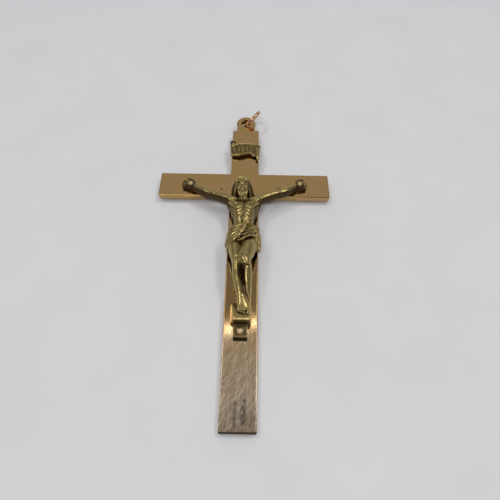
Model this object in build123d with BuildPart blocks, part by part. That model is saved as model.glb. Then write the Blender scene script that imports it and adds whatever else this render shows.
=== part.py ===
from build123d import *
import math
import os

# A crucifix pendant lying on its back: X to the right, Y up the cross, Z out of its front.
# The origin is where the centre-lines of upright and arms cross, on the plate's back face.
# Lengths are millimetres. A share is a part of the size that its comment names.

# Cross plate
upright_width = 7.0
arm_width = 7.0
arm_span = 42.0
upper_length = 18.8  # from the arms' centre-line to the upright's top end
lower_length = 56.0  # from the arms' centre-line to the upright's bottom end
plate_thickness = 1.5
corner_radius = 0.3
edge_round = 0.22

# Eyelet tab on the top end
tab_rise = 2.75  # from the top end to the eyelet's centre
tab_rim = 1.2
neck_width = 4.6

# Jump ring, which leans over and stands up to the right of the upright's line
ring_radius = 2.65  # to the middle of the wire
wire_diameter = 0.96
ring_lift = 0.74  # from the plate's middle up to the ring's centre
ring_reach_share = 0.8  # of the ring's radius, from the eyelet's centre outwards to the ring's centre
ring_aside_share = 0.66  # of the ring's lift, from the eyelet's centre sideways to the ring's centre
ring_lean = 59.0  # degrees between the ring's plane and the plate
ring_swing = 34.0  # degrees to the right of straight up
eyelet_clearance = 0.1

# Rivets through the hands and the foot bracket
shank_diameter = 1.0
head_diameter = 1.4
head_height = 0.5
head_crown_share = 0.35  # of the head's height, left as a straight rim
tail_diameter = 1.6
rivet_clearance = 0.04
seat_depth = 0.3  # how deep a head sits in the palm
seat_clearance = 0.08

# Nail places, from the crossing of the centre-lines
left_nail_out = 13.1
left_nail_drop = 0.92
right_nail_out = 13.55
right_nail_drop = 0.5

# Hands
hand_length = 3.4
hand_width = 2.2
hand_thickness = 1.3
palm_gap = 0.5  # from the plate up to the palm
boss_diameter = 1.9

# Foot bracket: a sloping block with a riveted tongue below it
bracket_width = 4.4
bracket_top_width = 3.3
bracket_depth = 4.4
bracket_back_height = 1.2
bracket_front_height = 3.65
bracket_lip_round = 0.4
tongue_width = 2.9
tongue_length = 2.75
tongue_thickness = 1.1
tongue_round = 0.25

# Scroll above the figure
scroll_width = 8.0  # over both rolled ends
scroll_drop = 7.95  # from the upright's top end down to the middle of the band
scroll_band = 4.4
scroll_thickness = 0.6
scroll_arch = 0.85  # how far the band bows out from its ends
scroll_rim = 0.4
scroll_recess = 0.16
left_roll_diameter = 1.05
left_roll_overhang = 1.15  # above the band
right_roll_diameter = 1.15
right_roll_overhang = 1.25  # below the band
peg_diameter = 0.9
peg_place_share = 0.34  # of the scroll's width, from the middle to each peg
peg_clearance = 0.04

# Figure
figure_length = 35.0  # from crown to toes
crown_drop = 0.2  # from the arms' centre-line down to the crown
foot_length = 4.5
head_length = 4.4

# What is cut runs this far past what it cuts
overrun = 1.0

# Shares of the figure's length: down from the crown, half width, rise of the middle, half depth
torso_shares = [
    (0.190, 0.062, 0.062, 0.040),
    (0.212, 0.089, 0.060, 0.055),
    (0.260, 0.088, 0.060, 0.074),
    (0.317, 0.079, 0.060, 0.071),
    (0.374, 0.072, 0.054, 0.055),
    (0.411, 0.075, 0.057, 0.057),
    (0.474, 0.086, 0.057, 0.062),
    (0.531, 0.083, 0.060, 0.060),
]
cloth_shares = [
    (0.402, 0.079, 0.060, 0.062),
    (0.440, 0.096, 0.063, 0.075),
    (0.500, 0.104, 0.063, 0.079),
    (0.556, 0.097, 0.066, 0.074),
]

# Shares of the figure's length: aside, down from the crown, rise, radius
neck_shares = [(0.000, 0.212, 0.068, 0.034), (-0.006, 0.135, 0.112, 0.030)]
left_thigh_shares = [
    (-0.044, 0.503, 0.069, 0.047),
    (-0.038, 0.600, 0.108, 0.041),
    (-0.031, 0.684, 0.139, 0.032),
]
right_thigh_shares = [
    (0.044, 0.503, 0.069, 0.047),
    (0.037, 0.600, 0.104, 0.041),
    (0.030, 0.684, 0.132, 0.032),
]
knot_shares = [(0.014, 0.446, 0.130, 0.022), (-0.010, 0.490, 0.134, 0.017), (-0.034, 0.534, 0.124, 0.015)]
tail_shares = [(0.088, 0.425, 0.056, 0.014), (0.102, 0.495, 0.055, 0.018), (0.098, 0.566, 0.046, 0.010)]

# Shares of the figure's length: where each arm leaves the trunk, its radii from there to the wrist
shoulder_shares = (0.076, 0.192, 0.063)
arm_radius_shares = (0.042, 0.0285, 0.0235, 0.0255, 0.017)
# Shares of the run from shoulder to nail, along X and along Y
left_elbow_shares = (0.48, 0.34)
left_wrist_shares = (0.85, 0.74)
right_elbow_shares = (0.51, 0.50)
right_wrist_shares = (0.87, 0.85)
arm_middle_share = 0.45  # of each stretch of arm, to where it is thickest or turns slim
arm_overlap_share = 0.3  # of the run from wrist to nail, that the arm reaches into the hand
elbow_rise_share = 0.052  # of the figure's length, at the elbow

# Shares of the hand's length past the nail, then of half its width and of half its thickness
hand_shares = [(-0.16, 0.90, 1.00), (0.18, 1.00, 1.00), (0.45, 0.80, 0.62), (0.68, 0.42, 0.36)]
left_hand_turn = 13.0  # degrees that the fingers point up
right_hand_turn = 1.0

# Shares of the head's length, from its middle up: half width, half depth, how far in front
head_shares = [
    (-0.48, 0.15, 0.19, 0.06),
    (-0.30, 0.25, 0.31, 0.03),
    (0.00, 0.32, 0.39, 0.00),
    (0.25, 0.32, 0.39, 0.00),
    (0.42, 0.23, 0.29, 0.00),
    (0.50, 0.10, 0.13, 0.00),
]
hair_shares = [
    (-0.78, 0.40, 0.17, -0.34),
    (-0.45, 0.47, 0.30, -0.26),
    (-0.05, 0.48, 0.40, -0.17),
    (0.25, 0.42, 0.43, -0.08),
    (0.45, 0.23, 0.28, -0.04),
]
beard_shares = [(-0.24, 0.24, 0.14, 0.26), (-0.48, 0.21, 0.14, 0.19), (-0.74, 0.10, 0.08, 0.10)]
head_place_shares = (-0.010, 0.114, 0.129)  # of the figure's length: aside, down, rise
head_bow = 25.0  # degrees that the crown leans out from the plate
head_tilt = 6.0  # degrees that the crown leans to the left
circlet_height_share = 0.24  # of the head's length
circlet_radius_share = 0.43
circlet_wire_share = 0.065

# Shares of the foot's length: along from the heel, aside, rise over the sole, half width, half height
front_foot_shares = [
    (0.00, 0.00, 0.29, 0.16, 0.17),
    (0.35, 0.04, 0.24, 0.21, 0.16),
    (0.74, 0.10, 0.18, 0.26, 0.12),
    (0.98, 0.12, 0.15, 0.21, 0.08),
]
rear_foot_shares = [
    (0.02, 0.17, 0.09, 0.16, 0.14),
    (0.45, 0.10, 0.07, 0.20, 0.12),
    (0.84, 0.05, 0.04, 0.20, 0.09),
]
foot_start_share = 0.885  # of the figure's length, from the crown to the heel
bracket_start_share = 0.902  # of the figure's length, from the crown to the bracket's back edge
calf_shares = (0.32, 0.030)  # down the shin, then its radius as a share of the figure's length
shin_bow_share = 0.004  # of the figure's length, that the calf swells outwards
ankle_radius_share = 0.019

# What follows from the sizes above
wire_radius = wire_diameter / 2
half_plate = plate_thickness / 2
lean = math.radians(ring_lean)
ring_reach = ring_reach_share * ring_radius
ring_offset = ring_aside_share * ring_lift
wire_reaches = []
for face in (-half_plate, half_plate):
    fall = (face - ring_lift) / (ring_radius * math.sin(lean))
    wire_along = ring_reach - ring_radius * math.sqrt(1 - fall**2)
    wire_aside = ring_offset + ring_radius * fall * math.cos(lean)
    wire_steepness = math.sqrt(1 - fall**2) * math.sin(lean)
    wire_reaches.append(math.hypot(wire_along, wire_aside) + wire_radius / wire_steepness)
eyelet_radius = max(wire_reaches) + eyelet_clearance
tab_radius = eyelet_radius + tab_rim
eyelet_height = upper_length + tab_rise
scroll_centre = upper_length - scroll_drop
bracket_back = -crown_drop - bracket_start_share * figure_length
bracket_front = bracket_back - bracket_depth
tongue_end = bracket_front - tongue_length
foot_nail_drop = tongue_length / 2 - bracket_front
palm_top = plate_thickness + palm_gap + hand_thickness
palm_middle = palm_top - hand_thickness / 2
hand_seat = palm_top - seat_depth
tongue_seat = plate_thickness + tongue_thickness

# Name, place and seat of each rivet
rivet_places = {
    "left_hand_rivet": (-left_nail_out, -left_nail_drop, hand_seat),
    "right_hand_rivet": (right_nail_out, -right_nail_drop, hand_seat),
    "foot_rivet": (0, -foot_nail_drop, tongue_seat),
}
peg_out = peg_place_share * scroll_width
peg_places = [(-peg_out, scroll_centre), (peg_out, scroll_centre)]

# The sloping top of the foot bracket, on which the soles rest
slope_rise = bracket_front_height - bracket_back_height
slope_run = math.hypot(bracket_depth, slope_rise)
slope_normal = Vector(0, slope_rise / slope_run, bracket_depth / slope_run)
sole_down = Vector(0, -bracket_depth / slope_run, slope_rise / slope_run)
sole_plane = Plane(
    origin=(0, bracket_back, plate_thickness + bracket_back_height),
    x_dir=(1, 0, 0),
    z_dir=slope_normal,
)
heel_past = (bracket_start_share - foot_start_share) * figure_length
heel = sole_plane.origin - sole_down * heel_past * slope_run / bracket_depth

# The head's axis from chin to crown, and the way its face looks
head_axis = Vector(0, 1, 0).rotate(Axis.X, head_bow).rotate(Axis.Z, head_tilt)
head_front = Vector(1, 0, 0).cross(head_axis)


def figure_point(aside_share, down_share, rise_share):
    """Return the point at shares of the figure's length: aside, down from the crown, up from the plate."""
    return Vector(
        aside_share * figure_length,
        -crown_drop - down_share * figure_length,
        plate_thickness + rise_share * figure_length,
    )


def ellipse_loft(stations):
    """Return a solid through ellipses, each given by its plane, half width and half depth."""
    with BuildPart() as body:
        for plane, half_width, half_depth in stations:
            with BuildSketch(plane):
                Ellipse(half_width, half_depth)
        loft()
    return body.part


def limb(points, radii):
    """Return a round solid through circles, each square to the run between its two neighbours."""
    stations = []
    for index, (point, radius) in enumerate(zip(points, radii)):
        run = points[min(index + 1, len(points) - 1)] - points[max(index - 1, 0)]
        plane = Plane(origin=point, x_dir=run.cross(Vector(0, 0, 1)), z_dir=run)
        stations.append((plane, radius, radius))
    return ellipse_loft(stations)


def figure_limb(shares):
    """Return a limb whose points and radii are shares of the figure's length."""
    points = [figure_point(aside, down, rise) for aside, down, rise, radius in shares]
    return limb(points, [radius * figure_length for aside, down, rise, radius in shares])


def trunk(shares):
    """Return a solid through level ellipses of the figure's trunk or its cloth."""
    stations = []
    for down, half_width, rise, half_depth in shares:
        plane = Plane(origin=figure_point(0, down, rise), x_dir=(1, 0, 0), z_dir=(0, -1, 0))
        stations.append((plane, half_width * figure_length, half_depth * figure_length))
    return ellipse_loft(stations)


def head_plane(up_share, front_share):
    """Return a plane square to the head's axis, at shares of the head's length up it and in front of it."""
    place = figure_point(*head_place_shares)
    place += head_axis * up_share * head_length + head_front * front_share * head_length
    return Plane(origin=place, x_dir=(1, 0, 0), z_dir=head_axis)


def head_form(shares):
    """Return a solid through ellipses square to the head's axis."""
    stations = []
    for up, half_width, half_depth, front in shares:
        stations.append((head_plane(up, front), half_width * head_length, half_depth * head_length))
    return ellipse_loft(stations)


def circlet_form():
    """Return the ring of twisted twigs round the brow, as a plain band."""
    with BuildPart(head_plane(circlet_height_share, 0)) as circlet:
        Torus(circlet_radius_share * head_length, circlet_wire_share * head_length)
    return circlet.part


def foot_form(shares):
    """Return a foot through ellipses that stand across the sole's slope."""
    stations = []
    for along, aside, rise, half_width, half_height in shares:
        place = heel + sole_down * along * foot_length + slope_normal * rise * foot_length
        place += Vector(aside * foot_length, 0, 0)
        plane = Plane(origin=place, x_dir=(1, 0, 0), z_dir=sole_down)
        stations.append((plane, half_width * foot_length, half_height * foot_length))
    return ellipse_loft(stations)


def wrist_point(nail, wrist_shares, side):
    """Return the wrist behind a nail, at shares of the run from the shoulder to that nail."""
    aside, down, rise = shoulder_shares
    shoulder = figure_point(side * aside, down, rise)
    run = nail - shoulder
    return Vector(shoulder.X + run.X * wrist_shares[0], shoulder.Y + run.Y * wrist_shares[1], nail.Z)


def hand_form(nail, wrist_shares, turn, side):
    """Return a hand through ellipses from wrist to finger tips, with the nail's place in its palm."""
    wrist = wrist_point(nail, wrist_shares, side)
    wrist_radius = arm_radius_shares[-1] * figure_length
    reach = Vector(side * math.cos(math.radians(turn)), math.sin(math.radians(turn)), 0)
    stations = [(Plane(origin=wrist, x_dir=(0, 0, 1), z_dir=nail - wrist), wrist_radius, wrist_radius)]
    for along, half_width, half_depth in hand_shares:
        plane = Plane(origin=nail + reach * along * hand_length, x_dir=(0, 0, 1), z_dir=reach)
        stations.append((plane, half_depth * hand_thickness / 2, half_width * hand_width / 2))
    return ellipse_loft(stations)


def arm_form(nail, elbow_shares, wrist_shares, side):
    """Return an arm, which runs from the trunk over the elbow and past the wrist into the hand."""
    aside, down, rise = shoulder_shares
    shoulder = figure_point(side * aside, down, rise)
    run = nail - shoulder
    elbow_rise = plate_thickness + elbow_rise_share * figure_length
    elbow = Vector(shoulder.X + run.X * elbow_shares[0], shoulder.Y + run.Y * elbow_shares[1], elbow_rise)
    wrist = wrist_point(nail, wrist_shares, side)
    hand_root = wrist + (nail - wrist) * arm_overlap_share
    upper_middle = shoulder + (elbow - shoulder) * arm_middle_share
    fore_middle = elbow + (wrist - elbow) * arm_middle_share
    points = [shoulder, upper_middle, elbow, fore_middle, hand_root]
    return limb(points, [share * figure_length for share in arm_radius_shares])


def leg_form(thigh_shares, foot_shares, side):
    """Return a leg, which runs from the trunk over the knee to the ankle above a heel."""
    points = [figure_point(*shares[:3]) for shares in thigh_shares]
    radius_shares = [shares[3] for shares in thigh_shares]
    along, aside, rise = foot_shares[0][:3]
    ankle = heel + sole_down * along * foot_length + slope_normal * rise * foot_length
    ankle += Vector(aside * foot_length, 0, 0)
    calf = points[-1] + (ankle - points[-1]) * calf_shares[0]
    calf += Vector(side * shin_bow_share * figure_length, 0, 0)
    radius_shares += [calf_shares[1], ankle_radius_share]
    return limb(points + [calf, ankle], [share * figure_length for share in radius_shares])


def roll_form(centre_x, diameter, low, high):
    """Return a rolled end of the scroll, which stands along Y with its back at the plate."""
    with BuildPart(Plane(origin=(centre_x, low, plate_thickness + diameter / 2), z_dir=(0, 1, 0))) as roll:
        Cylinder(diameter / 2, high - low, align=(Align.CENTER, Align.CENTER, Align.MIN))
    return roll.part


os.makedirs("parts", exist_ok=True)

# Cross plate with its eyelet tab, rivet holes and peg holes
with BuildPart() as cross_plate:
    with BuildSketch() as outline:
        with Locations((0, (upper_length - lower_length) / 2)):
            Rectangle(upright_width, upper_length + lower_length)
        Rectangle(arm_span, arm_width)
        arm_corners = outline.vertices().group_by(Axis.X)[0] + outline.vertices().group_by(Axis.X)[-1]
        end_corners = outline.vertices().group_by(Axis.Y)[0] + outline.vertices().group_by(Axis.Y)[-1]
        fillet(arm_corners + end_corners, corner_radius)
        with Locations((0, upper_length)):
            Rectangle(neck_width, 2 * tab_rise)
        with Locations((0, eyelet_height)):
            Circle(tab_radius)
    extrude(amount=plate_thickness)
    fillet(cross_plate.faces().sort_by(Axis.Z)[-1].edges(), edge_round)
    with Locations((0, eyelet_height, plate_thickness)):
        Hole(eyelet_radius)
    for place_x, place_y, seat in rivet_places.values():
        with Locations(Location((place_x, place_y, 0), (180, 0, 0))):
            CounterSinkHole(
                shank_diameter / 2 + rivet_clearance,
                tail_diameter / 2 + rivet_clearance,
                counter_sink_angle=90,
            )
    with Locations([(place_x, place_y, plate_thickness) for place_x, place_y in peg_places]):
        Hole(peg_diameter / 2 + peg_clearance)
cross_plate.part.label = "cross_plate"
export_step(cross_plate.part, "parts/cross_plate.step")

# Foot bracket: the block narrows upwards, its top slopes up to a rounded lip, the tongue takes the rivet
with BuildPart() as footrest:
    block_middle = (bracket_back + bracket_front) / 2
    with BuildSketch(Plane.XY.offset(plate_thickness)):
        with Locations((0, block_middle)):
            Rectangle(bracket_width, bracket_depth)
    with BuildSketch(Plane.XY.offset(plate_thickness + bracket_front_height)):
        with Locations((0, block_middle)):
            Rectangle(bracket_top_width, bracket_depth)
    loft()
    split(bisect_by=sole_plane, keep=Keep.BOTTOM)
    fillet(footrest.edges().filter_by(Axis.X).sort_by(Axis.Z)[-1], bracket_lip_round)
    with BuildSketch(Plane.XY.offset(plate_thickness)):
        with Locations((0, (bracket_front + tongue_end) / 2)):
            Rectangle(tongue_width, tongue_length)
    extrude(amount=tongue_thickness)
    tongue_corners = footrest.edges().filter_by(Axis.Z).group_by(Axis.Y)[0]
    fillet(tongue_corners, tongue_round)
    with Locations((0, -foot_nail_drop, tongue_seat)):
        Hole(shank_diameter / 2 + rivet_clearance)
footrest.part.label = "footrest"
export_step(footrest.part, "parts/footrest.step")

# Scroll: an arched band with a sunk field, a roll at each end and two pegs through the plate
band_low = scroll_centre - scroll_band / 2
band_high = scroll_centre + scroll_band / 2
left_roll_x = (left_roll_diameter - scroll_width) / 2
right_roll_x = (scroll_width - right_roll_diameter) / 2
end_rise = plate_thickness + scroll_thickness / 2
arch_rise = end_rise + scroll_arch
half_band = scroll_thickness / 2
field_rise = half_band - scroll_recess
with BuildPart() as titulus:
    with BuildSketch(Plane.XZ.offset(-band_low)):
        with BuildLine():
            under = ThreePointArc(
                (left_roll_x, end_rise - half_band),
                (0, arch_rise - half_band),
                (right_roll_x, end_rise - half_band),
            )
            over = ThreePointArc(
                (left_roll_x, end_rise + half_band),
                (0, arch_rise + half_band),
                (right_roll_x, end_rise + half_band),
            )
            Line(under @ 0, over @ 0)
            Line(under @ 1, over @ 1)
        make_face()
    extrude(amount=-scroll_band)
    with BuildSketch(Plane.XZ.offset(-band_low - scroll_rim)):
        with BuildLine():
            field = ThreePointArc(
                (left_roll_x, end_rise + field_rise),
                (0, arch_rise + field_rise),
                (right_roll_x, end_rise + field_rise),
            )
            Polyline(
                field @ 0,
                (left_roll_x, arch_rise + overrun),
                (right_roll_x, arch_rise + overrun),
                field @ 1,
            )
        make_face()
    extrude(amount=2 * scroll_rim - scroll_band, mode=Mode.SUBTRACT)
    add(roll_form(left_roll_x, left_roll_diameter, band_low, band_high + left_roll_overhang))
    add(roll_form(right_roll_x, right_roll_diameter, band_low - right_roll_overhang, band_high))
    with BuildSketch(Plane.XY):
        with Locations(peg_places):
            Circle(peg_diameter / 2)
    extrude(amount=plate_thickness + half_band)
titulus.part.label = "titulus"
export_step(titulus.part, "parts/titulus.step")

# Figure: one casting, flat where it lies on the plate and on the foot bracket
left_nail = Vector(-left_nail_out, -left_nail_drop, palm_middle)
right_nail = Vector(right_nail_out, -right_nail_drop, palm_middle)
palms = [(-left_nail_out, -left_nail_drop), (right_nail_out, -right_nail_drop)]
figure_forms = [trunk(torso_shares), trunk(cloth_shares)]
figure_forms += [figure_limb(shares) for shares in (neck_shares, knot_shares, tail_shares)]
figure_forms.append(leg_form(left_thigh_shares, front_foot_shares, -1))
figure_forms.append(leg_form(right_thigh_shares, rear_foot_shares, 1))
figure_forms += [foot_form(front_foot_shares), foot_form(rear_foot_shares)]
figure_forms.append(arm_form(left_nail, left_elbow_shares, left_wrist_shares, -1))
figure_forms.append(arm_form(right_nail, right_elbow_shares, right_wrist_shares, 1))
figure_forms.append(hand_form(left_nail, left_wrist_shares, left_hand_turn, -1))
figure_forms.append(hand_form(right_nail, right_wrist_shares, right_hand_turn, 1))
figure_forms += [head_form(shares) for shares in (head_shares, hair_shares, beard_shares)]
figure_forms.append(circlet_form())
with BuildPart() as corpus:
    add(figure_forms)
    with BuildSketch(Plane.XY.offset(plate_thickness)):
        with Locations(palms):
            Circle(boss_diameter / 2)
    extrude(amount=palm_middle - plate_thickness)
    split(bisect_by=Plane.XY.offset(plate_thickness), keep=Keep.TOP)
    split(bisect_by=sole_plane, keep=Keep.TOP)
    with Locations([(place_x, place_y, palm_top) for place_x, place_y in palms]):
        CounterBoreHole(
            radius=shank_diameter / 2 + rivet_clearance,
            counter_bore_radius=head_diameter / 2 + seat_clearance,
            counter_bore_depth=seat_depth,
        )
corpus.part.label = "corpus"
export_step(corpus.part, "parts/corpus.step")

# Rivets: a flush flared tail at the plate's back, a straight shank and a domed head
head_rim = head_height * head_crown_share
dome_height = head_height - head_rim
dome_radius = ((head_diameter / 2) ** 2 + dome_height**2) / (2 * dome_height)
tail_flare = (tail_diameter - shank_diameter) / 2
for rivet_name, (place_x, place_y, seat) in rivet_places.items():
    with BuildPart() as rivet:
        with BuildSketch(Plane(origin=(place_x, place_y, 0), x_dir=(1, 0, 0), z_dir=(0, -1, 0))):
            with BuildLine():
                stem = Polyline(
                    (0, 0),
                    (tail_diameter / 2, 0),
                    (shank_diameter / 2, tail_flare),
                    (shank_diameter / 2, seat),
                    (head_diameter / 2, seat),
                    (head_diameter / 2, seat + head_rim),
                )
                RadiusArc(stem @ 1, (0, seat + head_height), -dome_radius)
                Line((0, seat + head_height), stem @ 0)
            make_face()
        revolve(axis=Axis((place_x, place_y, 0), (0, 0, 1)))
    rivet.part.label = rivet_name
    export_step(rivet.part, f"parts/{rivet_name}.step")

# Jump ring, threaded through the eyelet
swing = math.radians(ring_swing)
ring_along = Vector(math.sin(swing), math.cos(swing), 0)
ring_aside = Vector(math.cos(swing), -math.sin(swing), 0)
ring_up = ring_aside * math.cos(lean) + Vector(0, 0, math.sin(lean))
ring_centre = Vector(0, eyelet_height, half_plate + ring_lift)
ring_centre = ring_centre + ring_along * ring_reach + ring_aside * ring_offset
with BuildPart(Plane(origin=ring_centre, x_dir=ring_along, z_dir=ring_along.cross(ring_up))) as jump_ring:
    Torus(ring_radius, wire_radius)
jump_ring.part.label = "jump_ring"
export_step(jump_ring.part, "parts/jump_ring.step")
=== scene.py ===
import bpy
import numpy as np
from mathutils import Matrix, Vector


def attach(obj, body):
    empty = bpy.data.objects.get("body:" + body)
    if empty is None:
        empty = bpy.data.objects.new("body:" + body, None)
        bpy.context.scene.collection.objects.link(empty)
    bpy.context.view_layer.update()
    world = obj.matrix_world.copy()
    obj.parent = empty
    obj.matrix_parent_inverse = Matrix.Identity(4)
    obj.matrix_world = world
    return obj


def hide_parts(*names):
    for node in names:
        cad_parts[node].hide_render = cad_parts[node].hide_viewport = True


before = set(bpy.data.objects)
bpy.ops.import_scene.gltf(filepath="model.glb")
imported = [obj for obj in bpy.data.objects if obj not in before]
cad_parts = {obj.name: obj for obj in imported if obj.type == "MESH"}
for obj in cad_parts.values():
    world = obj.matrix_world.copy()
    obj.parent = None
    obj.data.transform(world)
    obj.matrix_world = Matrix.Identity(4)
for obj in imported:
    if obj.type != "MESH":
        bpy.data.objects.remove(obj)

# Shapes are worked out in millimetres in the CAD frame, and meshes are written in metres.
MM = 0.001
PLATE = 1.5  # the plate's front face
COARSE = 1.0
scene = bpy.context.scene
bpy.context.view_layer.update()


# Surfaces


def unit(rows):
    """Each row at length one."""
    rows = np.asarray(rows, float)
    return rows / np.linalg.norm(rows, axis=-1, keepdims=True)


def curve(points, count):
    """Catmull-Rom curve through the rows of points: count rows at even steps of its parameter."""
    p = np.asarray(points, float)
    p = np.vstack([2 * p[0] - p[1], p, 2 * p[-1] - p[-2]])
    t = np.linspace(0, len(p) - 3, count)
    i = np.minimum(t.astype(int), len(p) - 4)
    f = (t - i)[:, None]
    a, b, c, d = p[i], p[i + 1], p[i + 2], p[i + 3]
    return b + 0.5 * f * (c - a + f * (2 * a - 5 * b + 4 * c - d + f * (3 * (b - c) + d - a)))


def closed(grid):
    """Points and faces of a grid closed round its second index, with a fan to a middle point at each end."""
    rows, cols = grid.shape[:2]
    index = np.arange(rows * cols).reshape(rows, cols)
    a, b = index[:-1], index[1:]
    quads = np.stack([a, np.roll(a, -1, 1), np.roll(b, -1, 1), b], -1).reshape(-1, 4)
    first, last = index[0], index[-1]
    low = np.stack([np.roll(first, -1), first, np.full(cols, rows * cols)], -1)
    high = np.stack([last, np.roll(last, -1), np.full(cols, rows * cols + 1)], -1)
    points = np.vstack([grid.reshape(-1, 3), grid[:1].mean(1), grid[-1:].mean(1)])
    return points, quads, np.vstack([low, high])


def tube(stations, up=(0, 0, 1), rings=48, sides=32, square=2.0, dome=1.0):
    """An oval carried along a curve. A station is a centre, a half width, and a half depth along up.

    Point (s, t) is centre(s) + width(s) cos(t) side(s) + depth(s) sin(t) over(s), with cosine and sine
    raised to 2 / square, and each end closed by a dome whose rings shrink as a quarter circle.
    """
    rows = curve(stations, rings)
    along = unit(np.gradient(rows[:, :3], axis=0))
    side = unit(np.cross(along, up))
    over = np.cross(side, along)
    lift = np.radians(np.linspace(82, 12, 6))
    reach = dome * np.minimum(rows[:, 3], rows[:, 4])
    ends = []
    for end, way, turn in ((0, -1, lift), (-1, 1, lift[::-1])):
        k = np.full(6, end)
        cap = np.hstack([rows[k, :3] + way * along[k] * (reach[end] * np.sin(turn))[:, None],
                         rows[k, 3:5] * np.cos(turn)[:, None]])
        ends.append((cap, side[k], over[k]))
    rows = np.vstack([ends[0][0], rows[:, :5], ends[1][0]])
    side = np.vstack([ends[0][1], side, ends[1][1]])
    over = np.vstack([ends[0][2], over, ends[1][2]])
    t = np.linspace(0, 2 * np.pi, sides, endpoint=False)
    ct, st = np.cos(t), np.sin(t)
    ct = np.sign(ct) * np.abs(ct) ** (2 / square)
    st = np.sign(st) * np.abs(st) ** (2 / square)
    grid = rows[:, None, :3] + (rows[:, 3:4] * ct)[..., None] * side[:, None]
    grid = grid + (rows[:, 4:5] * st)[..., None] * over[:, None]
    return closed(grid)


def ball(centre, radii, axes=None, rings=24, sides=32):
    """An ellipsoid: centre + radii * (cos(v) cos(u), cos(v) sin(u), sin(v)) along three axes."""
    v = np.linspace(-1.5, 1.5, rings)[:, None]
    u = np.linspace(0, 2 * np.pi, sides, endpoint=False)[None]
    shape = np.stack([np.cos(v) * np.cos(u), np.cos(v) * np.sin(u), np.sin(v) + 0 * u], -1)
    axes = np.eye(3) if axes is None else np.asarray(axes)
    return closed(np.asarray(centre) + shape * np.asarray(radii) @ axes)


def block(low, high, top, draft=0.0, lean=0.0, count=24):
    """A block on the plate: level outlines of a rounded rectangle, each lifted to its share of top(y).

    For each millimetre of height the half width shrinks by draft and the middle moves by lean along X.
    Inner outlines close the bottom and the top.
    """
    t = np.linspace(0, 2 * np.pi, 4 * count, endpoint=False) + np.pi / (4 * count)
    ct, st = np.cos(t), np.sin(t)
    corner = 0.16  # the power that rounds the rectangle's corners
    ct = np.sign(ct) * np.abs(ct) ** corner
    st = np.sign(st) * np.abs(st) ** corner
    middle, half = (np.array(low) + high) / 2, (np.array(high) - low) / 2
    rows = []
    inner = np.linspace(0.1, 1, 10)
    outlines = [(0, s) for s in inner] + [(s, 1) for s in np.linspace(0.1, 1, 12)]
    for lift, share in outlines + [(1, s) for s in inner[::-1]]:
        y = middle[1] + half[1] * st * share
        z = PLATE + lift * (top(y) - PLATE)
        x = middle[0] + lean * (z - PLATE) + (half[0] - draft * (z - PLATE)) * ct * share
        rows.append(np.stack([x, y, z], -1))
    return closed(np.array(rows))


def joined(name, forms):
    """One mesh, in millimetres, of all the closed forms."""
    points, faces, start = [], [], 0
    for p, quads, fans in forms:
        points.append(p)
        faces += (quads + start).tolist() + (fans + start).tolist()
        start += len(p)
    mesh = bpy.data.meshes.new(name)
    mesh.from_pydata(np.vstack(points), [], faces)
    return mesh


def relax(points, edges, passes, step=0.5):
    """Points moved, pass after pass, part of the way to the mean of their neighbours."""
    a, b = edges[:, 0], edges[:, 1]
    size = len(points)
    count = np.bincount(edges.ravel(), minlength=size)[:, None]
    for _ in range(passes):
        total = np.stack([np.bincount(a, points[b, k], size) + np.bincount(b, points[a, k], size)
                          for k in range(points.shape[1])], -1)
        points = points + step * (total / count - points)
    return points


def read(mesh):
    """The points and edges of a mesh as arrays."""
    points = np.empty(len(mesh.vertices) * 3, np.float32)
    mesh.vertices.foreach_get("co", points)
    edges = np.empty(len(mesh.edges) * 2, np.int32)
    mesh.edges.foreach_get("vertices", edges)
    return points.reshape(-1, 3).astype(float), edges.reshape(-1, 2)


def normals(mesh, points):
    """The mesh's vertex normals once its vertices stand at points."""
    mesh.vertices.foreach_set("co", points.astype(np.float32).ravel())
    mesh.update()
    found = np.empty(len(points) * 3, np.float32)
    mesh.vertex_normals.foreach_get("vector", found)
    return found.reshape(-1, 3).astype(float)


def skin(name, forms, voxel, passes, carve=None, settle=None, after=2, stain=None):
    """One skin over the overlapping forms.

    A voxel remesh of the joined forms is relaxed, carve(points, normals) gives how far each point moves
    along its normal, the skin is relaxed a little again, and settle(points) puts points back where they may
    lie. The attribute recess_and_shade says how far a point lies below its smoothed surroundings, in tenths
    of a millimetre, for patina in hollows. Painted shade is added on undersides, and stain(points, normals)
    adds more painted shade and, where negative, painted highlight.
    """
    raw = joined(name + "_raw", forms)
    piece = bpy.data.objects.new(name, raw)
    scene.collection.objects.link(piece)
    remesh = piece.modifiers.new("skin", "REMESH")
    remesh.mode = "VOXEL"
    remesh.voxel_size = voxel * COARSE
    depsgraph = bpy.context.evaluated_depsgraph_get()
    mesh = bpy.data.meshes.new_from_object(piece.evaluated_get(depsgraph))
    piece.modifiers.clear()
    piece.data = mesh
    bpy.data.meshes.remove(raw)
    points, edges = read(mesh)
    points = relax(points, edges, passes)
    if carve:
        facing = normals(mesh, points)
        points = relax(points + facing * carve(points, facing)[:, None], edges, after)
    if settle:
        points = settle(points)
    facing = normals(mesh, points)
    around = relax(points, edges, passes=30)
    recess_and_shade = ((around - points) * facing).sum(1) * 10
    # Painted shade on undersides, on top of any patina in hollows
    underside_shade = np.clip(0.05 - facing[:, 2], 0, 1)
    recess_and_shade = relax(recess_and_shade[:, None], edges, passes=2)[:, 0] + 1.5 * underside_shade
    if stain:
        recess_and_shade = recess_and_shade + stain(points, facing)
    store = mesh.attributes.new("recess_and_shade", "FLOAT", "POINT")
    store.data.foreach_set("value", recess_and_shade.astype(np.float32))
    mesh.vertices.foreach_set("co", (points * MM).astype(np.float32).ravel())
    mesh.polygons.foreach_set("use_smooth", np.ones(len(mesh.polygons), bool))
    mesh.update()
    return piece


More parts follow.
